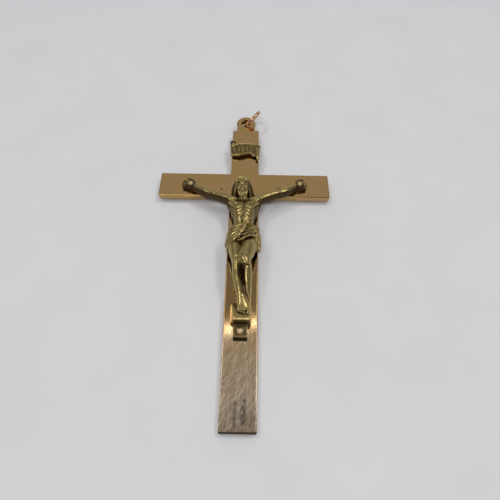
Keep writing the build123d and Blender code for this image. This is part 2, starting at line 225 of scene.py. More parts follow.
def rest(points):
    """Points behind the plate's front face brought onto it."""
    return np.column_stack([points[:, :2], np.maximum(points[:, 2], PLATE)])


def ramp(value, start, end):
    """0 up to start, 1 from end on, and an even rise between them."""
    return np.clip((value - start) / (end - start), 0, 1)


def bell(points, path, width):
    """How near points lie to a path seen from the front: 1 on it, falling as a bell curve of that width."""
    flat, path = points[:, :2], np.atleast_2d(np.asarray(path, float))
    if len(path) == 1:
        return np.exp(-((flat - path[0]) ** 2).sum(1) / width**2)
    nearest = np.full(len(flat), 1e9)
    for a, b in zip(path[:-1], path[1:]):
        run = b - a
        share = np.clip((flat - a) @ run / (run @ run), 0, 1)
        nearest = np.minimum(nearest, ((flat - a - share[:, None] * run) ** 2).sum(1))
    return np.exp(-nearest / width**2)


def carved(strokes):
    """A carving of strokes (path, width, height) on whatever faces the front."""

    def carve(points, facing):
        rise = np.zeros(len(points))
        for path, width, height in strokes:
            rise += height * bell(points, path, width)
        return rise * np.clip(facing[:, 2] * 1.6, 0, 1)

    return carve


# The figure's trunk and limbs: centre, half width, half depth
torso = [
    (0.0, -6.2, 3.1, 1.5, 1.3), (0.0, -7.0, 3.2, 2.7, 1.75), (0.05, -7.9, 3.3, 3.05, 2.15),
    (0.12, -9.3, 3.45, 2.85, 2.5), (0.15, -10.8, 3.45, 2.6, 2.6), (0.15, -12.1, 3.4, 2.4, 2.4),
    (0.12, -13.3, 3.3, 2.35, 2.05), (0.05, -14.6, 3.35, 2.6, 2.1), (0.0, -16.0, 3.3, 2.8, 2.0),
    (0.0, -17.6, 3.2, 2.5, 1.5),
]
neck = [(0.0, -7.4, 3.9, 1.3, 1.2), (-0.1, -6.2, 4.6, 1.15, 1.1), (-0.25, -5.0, 5.4, 1.1, 1.1)]
left_arm = [
    (-1.6, -7.3, 3.8, 1.2, 1.3), (-2.9, -6.6, 3.7, 1.35, 1.4), (-4.94, -5.6, 3.5, 1.2, 1.28),
    (-6.89, -4.8, 3.2, 1.02, 1.22), (-7.8, -4.5, 3.05, 0.98, 1.22), (-8.8, -4.1, 2.95, 1.08, 1.32),
    (-10.4, -3.13, 2.75, 0.96, 1.18), (-11.4, -2.45, 2.6, 0.74, 0.98), (-12.3, -1.65, 2.45, 0.74, 0.86),
]
right_arm = [
    (1.6, -7.3, 3.8, 1.2, 1.3), (2.9, -6.6, 3.7, 1.35, 1.4), (4.6, -5.65, 3.5, 1.2, 1.28),
    (6.71, -4.5, 3.2, 1.08, 1.26), (8.0, -4.0, 3.05, 0.96, 1.22), (8.9, -3.7, 2.97, 0.98, 1.26),
    (10.1, -3.1, 2.82, 1.04, 1.26), (11.2, -2.2, 2.68, 0.88, 1.12), (12.15, -1.4, 2.5, 0.72, 0.98),
    (12.9, -0.85, 2.45, 0.74, 0.86),
]
left_leg = [
    (-1.5, -16.8, 3.6, 1.5, 1.7), (-1.66, -19.2, 4.7, 1.42, 1.5), (-1.58, -21.2, 5.3, 1.3, 1.3),
    (-1.35, -22.9, 5.75, 1.04, 1.12), (-1.22, -24.3, 6.0, 0.86, 1.0), (-1.22, -25.5, 5.95, 0.76, 0.92),
    (-1.1, -26.7, 5.6, 0.78, 0.96), (-0.65, -28.3, 5.0, 0.84, 0.88), (-0.28, -29.9, 4.45, 0.93, 0.76),
    (0.11, -31.1, 3.95, 0.86, 0.6), (0.28, -31.9, 3.85, 0.6, 0.4),
]
right_leg = [
    (1.5, -16.8, 3.6, 1.5, 1.7), (1.2, -19.2, 4.8, 1.84, 1.6), (0.98, -21.2, 5.45, 1.78, 1.5),
    (0.6, -22.9, 6.0, 1.52, 1.38), (0.78, -24.0, 6.15, 1.24, 1.2), (1.28, -25.0, 5.65, 0.9, 0.95),
    (1.5, -25.9, 5.3, 0.74, 0.82), (1.5, -27.0, 4.9, 0.7, 0.82), (1.5, -28.4, 4.35, 0.66, 0.76),
    (1.55, -30.0, 3.65, 0.57, 0.66), (1.5, -31.2, 3.15, 0.54, 0.6), (1.4, -32.0, 2.95, 0.55, 0.5),
]
# The shins' fronts
left_shin = [(-1.22, -25.6, 6.08, 0.62, 0.5), (-1.05, -27.0, 5.78, 0.62, 0.52),
             (-0.6, -28.6, 5.18, 0.6, 0.46), (-0.18, -30.2, 4.62, 0.54, 0.38)]
right_shin = [(1.0, -25.5, 6.2, 0.34, 0.5), (1.0, -26.7, 5.66, 0.36, 0.5), (1.1, -28.0, 5.08, 0.34, 0.44),
              (1.2, -29.4, 4.36, 0.3, 0.36), (1.3, -30.5, 3.75, 0.26, 0.3)]
# The foot bracket's top: its rear edge's place and height, its rise for each millimetre, its normal
BRACKET_REAR, BRACKET_LOW, BRACKET_RISE = -31.77, 2.7, 0.5568
SLOPE = unit((0, 0.4865, 0.8737))
front_foot = [(0.08, -30.8, 4.12, 0.98, 0.7), (0.28, -31.7, 4.1, 1.14, 0.74),
              (0.45, -32.5, 4.12, 1.22, 0.7), (0.55, -33.2, 4.15, 1.3, 0.56),
              (0.58, -33.7, 4.22, 1.28, 0.4)]
rear_foot = [(1.46, -30.5, 3.25, 0.4, 0.4), (1.45, -31.1, 3.0, 0.53, 0.54), (1.4, -32.2, 3.3, 0.62, 0.5),
             (1.35, -33.0, 3.7, 0.6, 0.36)]
# A toe is its root, its tip and its radius
toes = [
    ((1.3, -33.4, 4.2), (1.46, -34.5, 4.62), 0.36), ((0.76, -33.6, 4.25), (0.78, -34.62, 4.68), 0.25),
    ((0.36, -33.5, 4.25), (0.34, -34.45, 4.6), 0.23), ((-0.02, -33.4, 4.2), (-0.06, -34.25, 4.5), 0.21),
    ((-0.36, -33.2, 4.1), (-0.42, -34.0, 4.36), 0.2),
]
# Lines between the toes and up the foot, seen from the front
toe_lines = [
    [(0.86, -32.7), (1.02, -33.7), (1.08, -34.8)], [(0.5, -32.8), (0.57, -33.7), (0.56, -34.8)],
    [(0.16, -32.8), (0.17, -33.7), (0.14, -34.6)], [(-0.14, -32.8), (-0.2, -33.5), (-0.25, -34.4)],
]
# The lines deepen towards the toes: each is drawn four times, from further and further down
toe_cuts = [curve(line, 13)[start:] for line in toe_lines for start in (0, 2, 4, 6)]


def hand(nail, turn, side, reach_out):
    """A hand with its palm to the front: a flat palm, four fingers that curl forwards and a thumb above."""
    reach = np.array([side * np.cos(np.radians(turn)), np.sin(np.radians(turn)), 0])
    across = side * np.array([-reach[1], reach[0], 0])

    def place(rows):
        rows = np.asarray(rows, float)
        spot = np.array([nail[0], nail[1], 0]) + rows[:, :1] * reach + rows[:, 1:2] * across
        spot[:, 2] = rows[:, 2]
        return np.hstack([spot, rows[:, 3:]])

    palm = [(-1.3, -0.5, 2.2, 0.72, 1.1), (-0.6, -0.2, 2.0, 1.0, 1.28), (0.1, -0.06, 1.95, 1.2, 1.32),
            (0.8, -0.04, 1.85, 1.15, 1.15), (reach_out - 1.0, -0.02, 1.75, 0.95, 0.85)]
    back = np.array(palm) * (1, 1, 0, 1.03, 0) + (0, 0, 1.72, 0, 0.34)
    forms = [tube(place(palm), square=2.6), tube(place(back), square=2.6)]
    for k, lead in enumerate((0.84, 0.28, -0.28, -0.82)):
        far = reach_out - 0.2 * abs(k - 1.3)
        path = [(0.7, lead * 0.9, 2.2, 0.29, 0.5), (far - 0.7, lead * 1.04, 2.0, 0.27, 0.42),
                (far - 0.25, lead * 1.04, 2.05, 0.26, 0.36),
                (far - 0.2, lead * 1.0 - 0.03, 2.4, 0.23, 0.24)]
        forms.append(tube(place(path), up=across, sides=20))
    thumb = [(-0.75, 0.4, 2.75, 0.4, 0.36), (-0.3, 1.02, 2.86, 0.36, 0.35),
             (0.35, 1.26, 2.94, 0.34, 0.33), (0.9, 1.24, 3.0, 0.28, 0.27)]
    forms.append(tube(place(thumb), sides=20))
    return forms


# Each hand's rivet, the turn of its fingers in degrees, its side and how far it reaches past the rivet
NAILS = [((-13.1, -0.92), 13.0, -1, 2.3), ((13.55, -0.5), 1.0, 1, 1.95)]
NAIL_ROOM, PALM_HEIGHT = 0.86, 3.0  # the radius kept free round a rivet, and the palm's height there
body_forms = [tube(torso, rings=96, sides=72, square=2.4, dome=0.25), tube(neck)]
limbs = (left_arm, right_arm, left_leg, right_leg, left_shin)
body_forms += [tube(rows, rings=110, sides=48) for rows in limbs]
body_forms += [tube(right_shin, rings=80, sides=48, square=4.5), tube(front_foot, up=SLOPE, square=2.3)]
front_half = [(0.2, -31.3, 4.08, 0.8, 0.5), (0.3, -31.8, 4.09, 1.06, 0.66),
              (0.45, -32.5, 4.12, 1.19, 0.67)] + front_foot[3:]
foot_forms = [tube(front_half, up=SLOPE, square=2.3), tube(rear_foot, up=SLOPE)]
for root, tip, radius in toes:
    middle = (np.array(root) + tip) / 2 + SLOPE * 0.1
    radii = radius * np.array([[1, 1], [0.88, 0.88], [1, 1]])
    foot_forms.append(tube(np.hstack([[root, middle, tip], radii]), up=SLOPE, rings=20, sides=20))
# Ankle bones
foot_forms += [ball((-0.72, -31.2, 4.0), (0.3, 0.36, 0.34)), ball((1.0, -31.5, 4.15), (0.3, 0.36, 0.32))]
wrists = ((left_arm, (-12.9, -1.2, 2.42, 0.8, 0.84)), (right_arm, (13.3, -0.7, 2.42, 0.8, 0.84)))
hand_forms = [tube(arm[-2:] + [end], sides=40) for arm, end in wrists]
for row in NAILS:
    hand_forms += hand(*row)
# Muscles and bones under the skin: breast, shoulders, flanks, kneecaps, calves, and between the thighs
for side in (-1, 1):
    body_forms += [
        tube([(side * 0.5, -8.6, 4.6, 0.9, 0.85), (side * 1.7, -8.3, 4.65, 1.0, 0.9),
              (side * 2.9, -7.5, 4.1, 0.85, 0.8)]),
        ball((side * 3.05, -6.75, 4.2), (1.05, 0.85, 0.95)),
    ]
body_forms += [
    tube([(-2.3, -10.6, 3.0, 0.45, 1.0), (-2.6, -9.0, 3.1, 0.55, 1.1), (-3.3, -7.6, 3.2, 0.7, 0.9)]),
    tube([(2.6, -10.6, 3.0, 0.45, 1.0), (2.85, -9.0, 3.1, 0.6, 1.1), (3.4, -7.6, 3.2, 0.7, 0.9)]),
    ball((-1.15, -24.2, 6.35), (0.56, 0.8, 0.6)), ball((0.66, -23.7, 6.55), (0.98, 0.95, 0.85)),
    ball((-1.4, -26.6, 5.2), (0.46, 1.6, 0.75)), ball((1.72, -26.8, 4.75), (0.46, 1.7, 0.75)),
    tube([(-0.1, -18.2, 3.9, 0.9, 1.0), (-0.3, -19.6, 4.3, 0.7, 1.0), (-0.5, -21.2, 4.8, 0.5, 0.9),
          (-0.6, -22.6, 5.2, 0.4, 0.6)]),
]
# Ribs, then other strokes: a path seen from the front, a width and a height
rib_width, rib_height = 0.17, 0.21
ribs = [
    [(0.75, -9.4), (1.3, -9.7), (2.3, -10.1)], [(0.68, -10.25), (1.1, -10.65), (2.1, -11.15)],
    [(0.58, -11.05), (1.0, -11.45), (1.95, -11.95)], [(-0.45, -9.55), (-1.05, -9.75), (-2.0, -10.1)],
    [(-0.5, -10.3), (-1.25, -10.8), (-2.0, -11.15)], [(-0.45, -11.05), (-1.25, -11.6), (-1.95, -11.95)],
]
body_strokes = [(rib, rib_width, rib_height) for rib in ribs]
body_strokes += [
    ([(0.18, -7.6), (0.05, -9.2), (-0.05, -10.8), (-0.1, -11.7)], 0.42, -0.2),
    ([(-0.14, -12.1), (-0.2, -13.2)], 0.2, -0.14), ([(-0.22, -13.55)], 0.24, -0.34),
    ([(0.0, -12.9)], 0.9, -0.1),
    ([(0.42, -11.85), (0.95, -12.4), (1.8, -12.95)], 0.26, 0.18),
    ([(-0.42, -11.85), (-0.9, -12.4), (-1.7, -12.95)], 0.26, 0.18),
    ([(0.35, -6.95), (1.4, -6.7), (2.6, -6.45)], 0.2, 0.14),
    ([(-0.35, -6.95), (-1.4, -6.7), (-2.6, -6.45)], 0.2, 0.14),
    ([(-1.7, -25.15), (-1.2, -25.05), (-0.7, -25.15)], 0.32, -0.07),
    ([(0.1, -24.9), (0.7, -24.98), (1.5, -24.95)], 0.2, -0.26),
    ([(-1.75, -23.2), (-1.1, -23.0), (-0.6, -23.2)], 0.24, -0.06),
    ([(1.6, -22.7), (0.7, -22.4), (-0.2, -22.7)], 0.26, -0.05),
    ([(-7.95, -5.5), (-7.75, -4.3)], 0.25, -0.07), ([(8.5, -4.4), (8.1, -3.1)], 0.25, -0.07),
    ([(-5.0, -5.0), (-6.6, -4.2)], 0.3, 0.06), ([(-8.6, -3.6), (-10.2, -2.7)], 0.3, 0.08),
    ([(5.0, -5.0), (6.6, -4.0)], 0.3, 0.06), ([(9.2, -3.1), (10.6, -2.3)], 0.3, 0.08),
]


def rest_body(points):
    """Keeps the figure's body on the plate, on the bracket's slope and clear of the rivet heads."""
    points = rest(points)
    low = (points - np.array((0, BRACKET_REAR, BRACKET_LOW))) @ SLOPE
    low = np.where((points[:, 1] < BRACKET_REAR) & (low < 0), low, 0)
    points = points - low[:, None] * SLOPE
    for row in NAILS:
        near = ((points[:, :2] - row[0]) ** 2).sum(1) < NAIL_ROOM**2
        points[:, 2] = np.where(near, np.minimum(points[:, 2], PALM_HEIGHT), points[:, 2])
    return points


def body_shade(points, facing):
    """Painted shade under the arms, on the trunk's sides, by the shins, under the right knee and round the
    rivet heads.
    """
    x, y, z = points.T
    # Painted shade on the arms' lower, front-facing sides
    under = np.clip(-0.05 - facing[:, 1], 0, 1) * ramp(np.abs(x), 2.6, 4.2) * 2.0
    # Painted shade on the shins' inner sides, facing the gap between them
    between_shins = 0.1 + 0.12 * (-25.0 - y)
    inner = np.where(x < between_shins, facing[:, 0], -facing[:, 0])
    gap = np.clip(inner - 0.2, 0, 1) * ramp(y, -24.0, -24.6) * ramp(y, -31.8, -31.2) * 1.3
    trunk = ramp(y, -15.0, -14.2)
    # Painted shade down the trunk's flanks and its steep sides
    flank = np.clip(np.abs(facing[:, 0]) - 0.55, 0, 1) * ramp(y, -7.0, -8.0) * trunk * 0.9
    sides = np.clip(0.45 - facing[:, 2], 0, 1) * trunk * 1.2
    # The left arm, beyond x = -3.2, gets painted shade as well
    dark = under + gap + flank + sides + 0.3 * ramp(x, -3.2, -4.2)
    # A painted shade ring round each rivet head, in the gap where it meets the palm
    for row in NAILS:
        ring = np.sqrt(((points[:, :2] - row[0]) ** 2).sum(1))
        dark = dark + 1.5 * np.exp(-(((ring - 0.88) / 0.17) ** 2))
    # Painted shadow under the right knee's overhang
    notch = bell(points, [(0.0, -24.95), (0.7, -25.05), (1.6, -25.0)], 0.24) * (z > 5.5)
    # Painted shade on the upper chest
    chest = np.exp(-(((y + 7.7) / 0.9) ** 2)) * ramp(np.abs(x), 2.8, 2.0) * 0.2
    # Painted shade that dims the left shin's highlight and the right shin's lower part
    shin = bell(points, [(-1.1, -26.3), (-0.6, -28.6), (-0.2, -30.0)], 0.5) * 0.65
    shin = shin + bell(points, [(1.12, -28.3), (1.22, -29.4), (1.3, -30.4)], 0.4) * 0.7
    return dark + 0.8 * notch + chest + shin


def foot_shade_and_highlight(points, facing):
    """The body's painted shade, painted shade in the lines between the toes and painted highlight on the toe
    tips.
    """
    dark = body_shade(points, facing)
    # Painted shade in the creases between the toes
    for line in toe_cuts:
        dark = dark + 0.3 * bell(points, line, 0.09)
    # Painted highlight on the toe tips: a negative amount lightens them
    for root, tip, radius in toes:
        dark = dark - 0.4 * bell(points, [tip[:2]], radius)
    return dark


body = skin("corpus_body", body_forms, voxel=0.095, passes=14, carve=carved(body_strokes), settle=rest_body,
            stain=body_shade)
hands = skin("corpus_hands", hand_forms, voxel=0.05, passes=8, settle=rest_body, stain=body_shade)
toe_grooves = carved([(line, 0.09, -0.028) for line in toe_cuts])
feet = skin("corpus_feet", foot_forms, voxel=0.042, passes=8, carve=toe_grooves, settle=rest_body,
            stain=foot_shade_and_highlight)

# The head, in shares of its length: to the right, up its axis, to its front
HEAD, CENTRE = 4.4, np.array((-0.35, -4.19, 6.015))
UP = unit((-0.0947, 0.901, 0.423))
FRONT = unit((0.0, -0.423, 0.901))
RIGHT = np.cross(UP, FRONT)
AXES = np.array([RIGHT, UP, FRONT])


def of_head(rows):
    """Rows of places and radii in shares of the head turned into millimetres of the frame."""
    rows = np.asarray(rows, float)
    return np.hstack([CENTRE + HEAD * rows[:, :3] @ AXES, HEAD * rows[:, 3:]])


def lump(centre, radii):
    """An ellipsoid given in shares of the head."""
    return ball(of_head([centre])[0], HEAD * np.asarray(radii), AXES)


def lock(rows, sides=16, rings=40):
    """A round lock through places and radii in shares of the head."""
    rows = np.asarray(rows, float)
    return tube(of_head(np.hstack([rows, rows[:, 3:]])), up=FRONT, sides=sides, rings=rings)


head_forms = [
    lump((0, 0.03, -0.02), (0.32, 0.46, 0.38)), lump((0, -0.23, 0.06), (0.25, 0.26, 0.26)),
    lock([(-0.2, 0.07, 0.27, 0.034), (-0.1, 0.09, 0.325, 0.036), (0, 0.08, 0.345, 0.034),
          (0.1, 0.09, 0.325, 0.036), (0.2, 0.07, 0.27, 0.034)]),
    lock([(0, 0.08, 0.35, 0.032), (0, -0.04, 0.385, 0.034), (0, -0.14, 0.415, 0.042)]),
    lump((-0.045, -0.15, 0.37), (0.034, 0.03, 0.04)), lump((0.045, -0.15, 0.37), (0.034, 0.03, 0.04)),
    lump((-0.125, 0.005, 0.275), (0.07, 0.048, 0.07)), lump((0.125, 0.005, 0.275), (0.07, 0.048, 0.07)),
    lump((-0.17, -0.11, 0.19), (0.12, 0.1, 0.13)), lump((0.17, -0.11, 0.19), (0.12, 0.1, 0.13)),
    lock([(-0.072, -0.268, 0.325, 0.02), (0, -0.272, 0.355, 0.026), (0.072, -0.268, 0.325, 0.02)]),
    lock([(-0.06, -0.302, 0.32, 0.02), (0, -0.315, 0.345, 0.03), (0.06, -0.302, 0.32, 0.02)]),
]
for side in (-1, 1):
    # Moustache, then the beard's locks from the jaw down to one of its two points
    head_forms.append(lock([(side * 0.012, -0.21, 0.365, 0.024), (side * 0.07, -0.228, 0.352, 0.03),
                            (side * 0.13, -0.262, 0.315, 0.03), (side * 0.17, -0.33, 0.27, 0.022)]))
    for k in range(5):
        s = k / 4
        head_forms.append(lock([
            (side * (0.035 + 0.2 * s), -0.37 + 0.2 * s, 0.3 - 0.12 * s, 0.04),
            (side * (0.05 + 0.17 * s), -0.44 + 0.1 * s, 0.32 - 0.09 * s, 0.048),
            (side * (0.055 + 0.11 * s), -0.52 + 0.04 * s, 0.3 - 0.07 * s, 0.044),
            (side * (0.06 + 0.05 * s), -0.61 + 0.03 * s, 0.26 - 0.05 * s, 0.024),
        ]))
    # Long hair from the parting down over the ears to the shoulder, over a solid fall of hair
    wide = 0.94 if side < 0 else 0.84
    fall = [(side * 0.16, 0.3, -0.14, 0.2), (side * 0.36 * wide, 0.02, -0.2, 0.21),
            (side * 0.43 * wide, -0.3, -0.28, 0.21), (side * 0.47 * wide, -0.62, -0.36, 0.18)]
    head_forms.append(lock(fall, sides=28))
    for k in range(9):
        s = k / 8
        wave = 0.022 * np.sin(np.arange(7) * 1.9 + 2.1 * k)
        head_forms.append(lock(np.array([
            (side * 0.03, 0.47 - 0.1 * s, 0.14 - 0.34 * s, 0.06),
            (side * (0.2 + 0.03 * s), 0.39 - 0.04 * s, 0.17 - 0.42 * s, 0.07),
            (side * (0.33 + 0.06 * s) * wide, 0.18, 0.13 - 0.42 * s, 0.075),
            (side * (0.38 + 0.16 * s) * wide, -0.06, 0.1 - 0.44 * s, 0.075),
            (side * (0.42 + 0.2 * s) * wide, -0.3, 0.04 - 0.42 * s, 0.075),
            (side * (0.45 + 0.2 * s) * wide, -0.54, -0.05 - 0.38 * s, 0.07),
            (side * (0.46 + 0.2 * s) * wide, -0.78, -0.18 - 0.3 * s, 0.05),
        ]) + np.outer(wave, (side, 0, 0.6, 0))))
head_forms += [lump((0, 0.0, -0.14), (0.4, 0.45, 0.36)), lump((0, -0.42, 0.16), (0.2, 0.18, 0.16))]
# The circlet: three twigs that twist round one another, with thorns
circlet_height, twig, spread = 0.27, 0.036, 0.034
turn = np.linspace(0, 2 * np.pi, 25)
for k in range(3):
    coil = 9 * turn + k * 2.094
    radius = 0.35 + spread * np.cos(coil)
    rows = [radius * np.sin(turn), circlet_height + spread * np.sin(coil),
            1.04 * radius * np.cos(turn) - 0.01, twig + 0 * turn]
    head_forms.append(lock(np.stack(rows, -1), rings=160, sides=12))
for k in range(13):
    a = 2 * np.pi * (k + 0.35) / 13
    lift = 0.05 * (-1) ** k
    thorn = [(0.34, 0.36, 0.0, twig), (0.4, 0.42, 0.7 * lift, 0.026), (0.43, 0.45, 1.2 * lift, 0.012)]
    rows = [(out * np.sin(a), circlet_height + up, front * np.cos(a) - 0.01, thick)
            for out, front, up, thick in thorn]
    head_forms.append(lock(rows, rings=10, sides=10))


def head_darkening(points, facing):
    """Hair below the circlet is darker than the face."""
    x, y, z = ((points - CENTRE) @ AXES.T / HEAD).T
    return 0.7 * ramp(np.abs(x), 0.24, 0.32) * ramp(y, 0.22, 0.16)


# Fine lines of the face and beard, in shares of the head, with their depth in millimetres
face_lines = []
for side in (-1, 1):
    face_lines += [
        ([(side * 0.07, 0.045), (side * 0.18, 0.04)], 0.034, -0.09),
        ([(side * 0.065, -0.022), (side * 0.125, -0.04), (side * 0.185, -0.018)], 0.02, -0.1),
        ([(side * 0.075, -0.13), (side * 0.12, -0.21)], 0.03, -0.05),
        ([(0.0, -0.287), (side * 0.08, -0.282)], 0.018, -0.1),
    ]
    for k in range(4):
        strand = [(side * (0.02 + 0.06 * k), -0.36 + 0.05 * k), (side * (0.03 + 0.045 * k), -0.48),
                  (side * (0.045 + 0.025 * k), -0.6)]
        face_lines.append((strand, 0.018, -0.1))


def face_carve(points, facing):
    """The face's fine lines, cut where the head faces its own front."""
    local = (points - CENTRE) @ AXES.T / HEAD
    rise = np.zeros(len(points))
    for line, width, height in face_lines:
        rise += height * bell(local, line, width)
    return rise * np.clip(facing @ FRONT * 1.6 - 0.2, 0, 1) * (local[:, 2] > 0.1)


head = skin("corpus_head", head_forms, voxel=0.05, passes=8, carve=face_carve, settle=rest, after=1,
            stain=head_darkening)

# The loincloth: a wrap round the hips, folds that gather at the knot, a twisted rope and a hanging end
wrap = [(0.0, -14.7, 3.6, 2.7, 2.05), (0.0, -15.6, 3.7, 3.05, 2.35), (0.0, -16.8, 3.8, 3.1, 2.4),
        (0.0, -17.7, 3.8, 2.8, 2.1)]
# A fold is its radius at its start and at its end, and its path
folds = [
    (0.32, 0.3,
     [(-2.9, -15.2, 3.4), (-2.3, -15.0, 5.0), (-1.5, -14.8, 5.65), (-0.6, -14.7, 6.0), (0.3, -14.5, 6.05)]),
    (0.5, 0.26, [(-3.2, -16.4, 3.3), (-2.9, -15.9, 4.9), (-1.7, -15.3, 5.95), (0.2, -15.5, 6.4)]),
    (0.42, 0.3, [(-3.45, -17.4, 3.3), (-3.1, -17.0, 5.0), (-2.0, -16.3, 6.0), (-0.2, -15.9, 6.5)]),
    (0.56, 0.26, [(-3.45, -18.5, 3.4), (-3.05, -18.0, 5.2), (-1.9, -17.1, 6.3), (-0.3, -16.4, 6.65)]),
    (0.34, 0.3, [(-3.3, -19.2, 3.6), (-2.95, -18.9, 5.2), (-2.1, -18.3, 6.2), (-0.8, -17.3, 6.7)]),
    (0.46, 0.3, [(-3.15, -20.0, 3.9), (-2.8, -19.7, 5.2), (-1.9, -18.9, 6.35), (-0.95, -18.1, 6.8)]),
    (0.3, 0.32, [(0.3, -14.5, 6.05), (1.2, -14.1, 5.75), (2.3, -14.3, 4.9), (2.95, -14.7, 3.7)]),
    (0.3, 0.5, [(0.5, -16.9, 6.6), (1.2, -16.4, 6.35), (1.85, -15.6, 5.9), (2.5, -14.9, 5.1)]),
    (0.26, 0.5, [(1.5, -17.1, 6.2), (2.1, -16.5, 5.8), (2.7, -15.7, 5.2), (3.05, -15.1, 4.4)]),
    (0.26, 0.36,
     [(-1.0, -18.7, 6.0), (-0.3, -18.6, 6.2), (0.55, -18.15, 6.5), (1.55, -17.6, 6.4), (2.5, -17.2, 5.7),
      (3.2, -16.9, 4.6)]),
    (0.24, 0.2, [(-3.3, -16.9, 3.3), (-2.95, -16.5, 4.95), (-1.9, -15.8, 6.0), (-0.3, -15.65, 6.5)]),
    (0.24, 0.2, [(-3.45, -18.0, 3.4), (-3.05, -17.55, 5.15), (-1.9, -16.75, 6.2), (-0.3, -16.15, 6.6)]),
    (0.22, 0.2, [(-3.3, -18.85, 3.5), (-3.0, -18.45, 5.25), (-2.0, -17.75, 6.3), (-0.5, -16.9, 6.7)]),
    (0.2, 0.28, [(0.2, -17.6, 6.7), (1.1, -17.1, 6.5), (2.0, -16.4, 6.0), (2.9, -15.8, 5.0)]),
    (0.2, 0.26, [(0.7, -16.2, 6.5), (1.4, -15.6, 6.15), (2.2, -14.9, 5.4)]),
    (0.4, 0.34, [(3.4, -15.7, 3.8), (3.75, -17.0, 3.4), (3.75, -18.5, 3.0), (3.6, -19.5, 2.6)]),
    (0.34, 0.28, [(2.75, -17.0, 5.1), (3.0, -18.1, 4.75), (2.95, -19.2, 4.3), (2.85, -20.0, 3.8)]),
]
cloth_forms = [tube(wrap, rings=60, sides=64, square=2.3, dome=0.25)]
for start, end, path in folds:
    radii = 1.12 * np.linspace(start, end, len(path))[:, None]
    cloth_forms.append(tube(np.hstack([path, radii, radii]), rings=60, sides=24, square=1.4))


def twist(spine, turns, spread, start, end):
    """Two strands coiled round a spine: point k of a strand stands spread from it at its turn's angle."""
    forms = []
    for begin in (0.0, np.pi):
        coil = np.linspace(0, 2 * np.pi * turns, len(spine)) + begin
        strand = spine + spread * np.stack([np.cos(coil), 0.5 * np.sin(coil), np.sin(coil)], -1)
        radii = np.repeat(np.linspace(start, end, len(spine))[:, None], 2, 1)
        forms.append(tube(np.hstack([strand, radii]), up=(1, 0, 0), rings=120, sides=16))
    return forms


spine = curve([(0.42, -15.5, 6.95), (0.2, -16.5, 7.15), (-0.26, -17.4, 7.2), (-0.95, -18.5, 6.5)], 40)
cloth_forms += twist(spine, 3.2, 0.22, 0.27, 0.2)
hanging = curve([(3.1, -15.0, 4.6), (3.38, -16.5, 4.3), (3.45, -18.1, 3.95), (3.35, -19.5, 3.4)], 40)
cloth_forms += twist(hanging, 1.6, 0.22, 0.44, 0.36)
cloth_forms += [ball((0.45, -15.6, 6.8), (0.55, 0.5, 0.5)), ball((0.0, -15.4, 6.5), (0.5, 0.35, 0.4)),
                ball((3.15, -15.2, 4.4), (0.55, 0.6, 0.6)), ball((-0.95, -18.3, 5.2), (1.0, 0.8, 0.9)),
                ball((0.1, -18.2, 5.4), (0.9, 0.7, 0.9))]


def cloth_shade_and_highlight(points, facing):
    """Painted shade under the hem and beneath the rope, a darker panel to the rope's right, and a painted
    highlight along the rope.
    """
    x, y, z = points.T
    # Painted shade on the hem's lower, front-facing sides
    dark = 1.2 * np.clip(-0.35 - facing[:, 1], 0, 1) * ramp(y, -17.0, -17.6)
    # Painted shade beneath the rope
    below = ramp(np.interp(y, spine[::-1, 1], spine[::-1, 2]) - z, 0.1, 0.4)
    # The panel to the rope's right is darker
    panel = bell(points, [(1.1, -15.7), (2.0, -16.4), (1.0, -17.0)], 0.8)
    path = spine[::8, :2]
    # Painted highlight along the rope: a negative amount lightens it
    rope = bell(points, path, 0.4) * (1 - below)
    return dark + 0.9 * below * bell(points, path, 0.75) + 0.35 * panel - 0.6 * rope


cloth = skin("corpus_cloth", cloth_forms, voxel=0.065, passes=8, settle=rest, stain=cloth_shade_and_highlight)

# The scroll: a waving band with raised rims, a row of lozenges on its sunk field, and two rolled ends.
# A row is the place along X, the lower and the upper edge, and the rise of the front.
band = curve([(-3.75, 9.0, 12.85, 2.3), (-3.0, 9.0, 13.0, 2.4), (-2.1, 9.0, 13.12, 2.52),
              (-1.0, 9.05, 13.15, 2.62), (0.07, 9.39, 13.2, 2.7), (1.16, 9.47, 13.18, 2.7),
              (2.04, 9.24, 13.13, 2.55), (2.7, 8.85, 13.07, 2.4), (3.2, 8.55, 12.9, 2.2)], 60)


def across(x, column):
    """A column of the band's rows at places along X."""
    return np.interp(x, band[:, 0], band[:, column])


middle, half = (band[:, 1] + band[:, 2]) / 2, (band[:, 2] - band[:, 1]) / 2
flat = np.full(len(band), 0.2)
sunk, behind = 0.18, 1.58  # the field's depth below the front, and the height of the band's back
deep = (band[:, 3] - sunk - behind) / 2
core = np.stack([band[:, 0], middle, band[:, 3] - sunk - deep, deep, half], -1)
scroll_forms = [tube(core, up=(0, 1, 0), rings=90, sides=48, square=8, dome=0.3)]
for edge, inwards in ((1, 0.2), (2, -0.2)):
    swell = 1 + (0.7 * np.exp(-(((band[:, 0] + 1.9) / 1.0) ** 2)) if edge == 1 else 0)
    rim = [band[:, 0], band[:, edge] + inwards, band[:, 3] - 0.2, flat * 0.95 * swell, flat * 1.1 * swell]
    scroll_forms.append(tube(np.stack(rim, -1), rings=90, sides=20, square=2.4))
for k in range(5):
    v = -2.75 + 1.08 * k
    n = unit((-(across(v + 0.05, 3) - across(v - 0.05, 3)) / 0.1, 0, 1))
    base = np.array((v, (across(v, 1) + across(v, 2)) / 2, across(v, 3) - 0.24))
    lozenge = [(*base, 0.3, 1.15), (*(base + n * 0.14), 0.25, 1.06), (*(base + n * 0.22), 0.14, 0.8)]
    scroll_forms.append(tube(lozenge, up=(0, 1, 0), rings=12, sides=24, square=1.2, dome=0.15))
